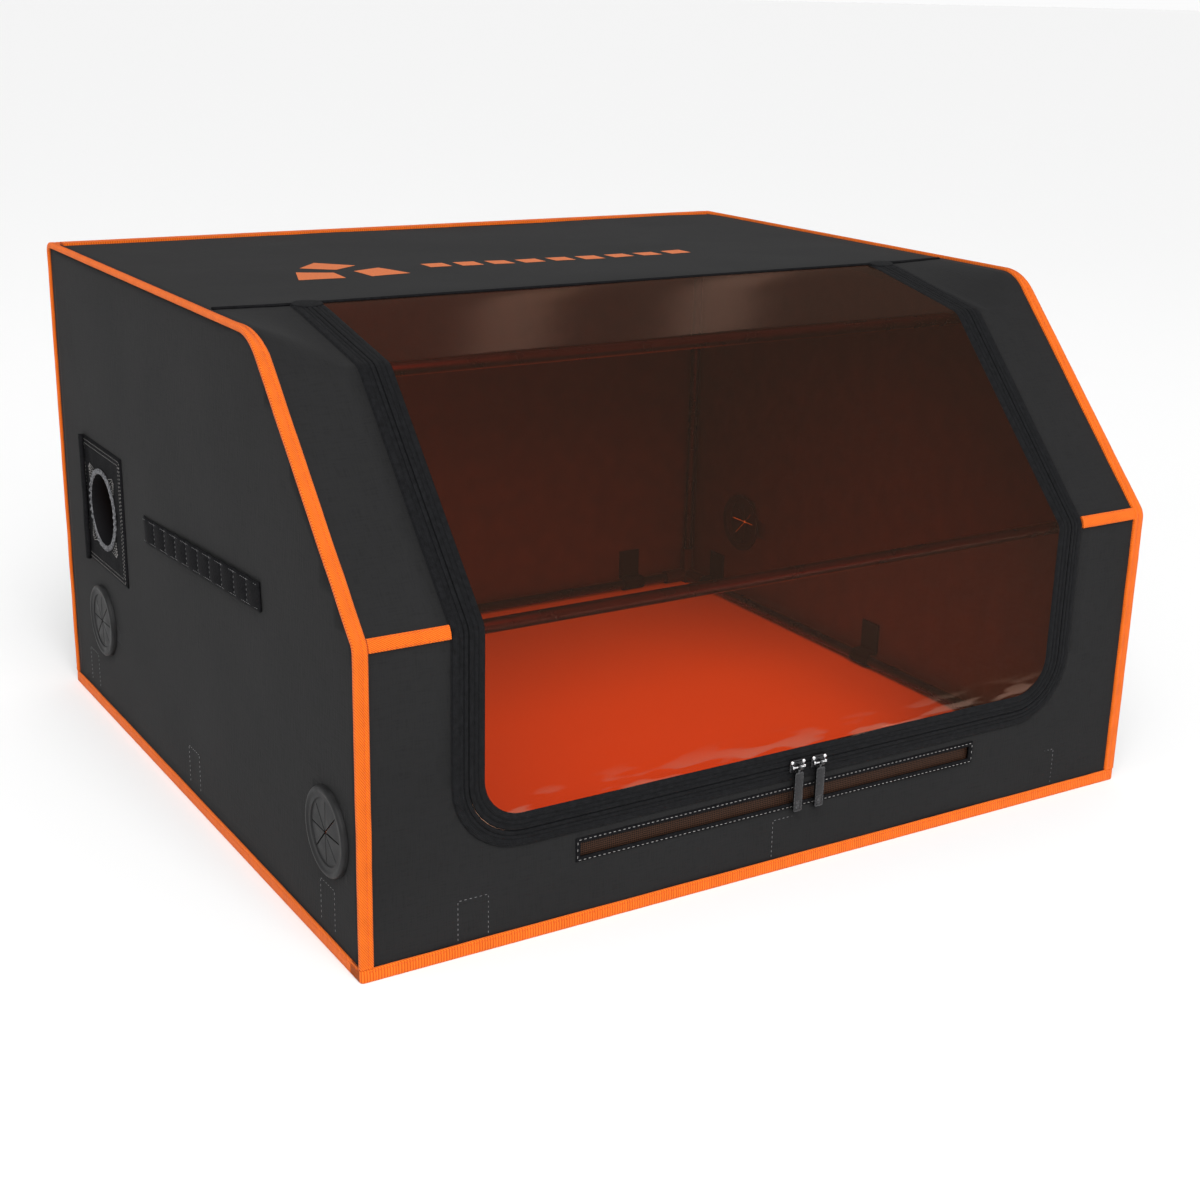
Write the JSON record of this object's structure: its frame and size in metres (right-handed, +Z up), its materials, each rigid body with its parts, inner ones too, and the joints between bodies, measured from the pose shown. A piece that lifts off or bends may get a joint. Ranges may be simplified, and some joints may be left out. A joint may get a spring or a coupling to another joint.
{
  "type": "printer enclosure tent",
  "caption": "Floorless fabric enclosure tent on a tube frame, with a tinted film window in its slanted front that unzips and folds back over the roof, a duct port and cable grommets.",
  "frame": {"origin": "on the floor, at the middle of the tent's footprint", "axes": "+Z up, +Y to the rear, so the window faces -Y, and +X to the right of a person facing the window"},
  "size_m": [0.7085, 0.6506, 0.411],
  "materials": {
    "cloth": "charcoal woven polyester with a coated back",
    "binding": "orange twill tape, stitched",
    "zip": "dark grey zip tape",
    "film": "amber tinted clear film, glossy",
    "mesh": "dark woven mesh",
    "webbing": "black ribbed webbing",
    "rubber": "matte",
    "steel": "glossy black",
    "plastic": "moulded, satin",
    "nickel": "bright nickel plate",
    "pull": "black enamel, glossy"
  },
  "bodies": {
    "tent": {"front_upright_left": "steel", "slant_tube_left": "steel", "roof_tube_left": "steel", "rear_upright_left": "steel", "floor_tube_left": "steel", "connector_front_foot_left": "plastic", "connector_sill_left": "plastic", "connector_crease_left": "plastic", "connector_roof_rear_left": "plastic", "connector_rear_foot_left": "plastic", "front_upright_right": "steel", "slant_tube_right": "steel", "roof_tube_right": "steel", "rear_upright_right": "steel", "floor_tube_right": "steel", "connector_front_foot_right": "plastic", "connector_sill_right": "plastic", "connector_crease_right": "plastic", "connector_roof_rear_right": "plastic", "connector_rear_foot_right": "plastic", "cross_tube_front_foot": "steel", "cross_tube_sill": "steel", "cross_tube_crease": "steel", "cross_tube_roof_rear": "steel", "cross_tube_rear_foot": "steel", "side_panel_left": "cloth", "side_panel_right": "cloth", "slant_panel_left": "cloth", "slant_panel_right": "cloth", "front_panel": "cloth", "roof_panel": "cloth", "rear_panel": "cloth", "edge_binding_left": "binding", "edge_binding_right": "binding", "sill_tape_left": "binding", "sill_tape_right": "binding", "roof_rear_binding": "binding", "hem_binding": "binding", "zip_outer_half": "zip", "inlet_border": "webbing", "vent_patch": "webbing", "vent_collar": "webbing", "tie_strap": "webbing", "inlet_mesh": "mesh", "cable_grommet_front_left": "rubber", "cable_grommet_front_right": "rubber", "cable_grommet_rear_left": "rubber", "cable_grommet_rear_right": "rubber"},
    "window_roof": {"window_film_roof": "film", "zip_inner_roof_left": "zip", "zip_inner_roof_right": "zip"},
    "window_slant": {"window_film_slant": "film", "zip_inner_slant_left": "zip", "zip_inner_slant_right": "zip"},
    "window_front": {"window_film_front": "film", "zip_inner_front": "zip"},
    "slider_left": {"zip_slider_left": "nickel"},
    "slider_right": {"zip_slider_right": "nickel"},
    "pull_left": {"zip_pull_left": "pull"},
    "pull_right": {"zip_pull_right": "pull"}
  },
  "joints": [
    {"name": "window_open", "type": "hinge", "parent": "tent", "child": "window_roof", "pos_m": [0, -0.065, 0.411], "axis": [-1, 0, 0], "range_deg": [0, 175]},
    {"name": "crease_unfold", "type": "hinge", "parent": "window_roof", "child": "window_slant", "pos_m": [0, -0.15822, 0.4069], "axis": [-1, 0, 0], "range_deg": [0, 47.1]},
    {"name": "sill_unfold", "type": "hinge", "parent": "window_slant", "child": "window_front", "pos_m": [0, -0.32066, 0.23647], "axis": [-1, 0, 0], "range_deg": [0, 43]},
    {"name": "slider_left_travel", "type": "slide", "parent": "tent", "child": "slider_left", "axis": [-1, 0, 0], "range_m": [0, 0.22]},
    {"name": "slider_right_travel", "type": "slide", "parent": "tent", "child": "slider_right", "axis": [1, 0, 0], "range_m": [0, 0.19]},
    {"name": "pull_left_swing", "type": "hinge", "parent": "slider_left", "child": "pull_left", "pos_m": [0.005, -0.3263, 0.085], "axis": [-1, 0, 0], "range_deg": [0, 170]},
    {"name": "pull_right_swing", "type": "hinge", "parent": "slider_right", "child": "pull_right", "pos_m": [0.025, -0.3263, 0.085], "axis": [-1, 0, 0], "range_deg": [0, 170]}
  ],
  "couplings": [
    {"joint": "crease_unfold", "follows": "window_open", "ratio": 0.26883},
    {"joint": "sill_unfold", "follows": "window_open", "ratio": 0.24545}
  ]
}
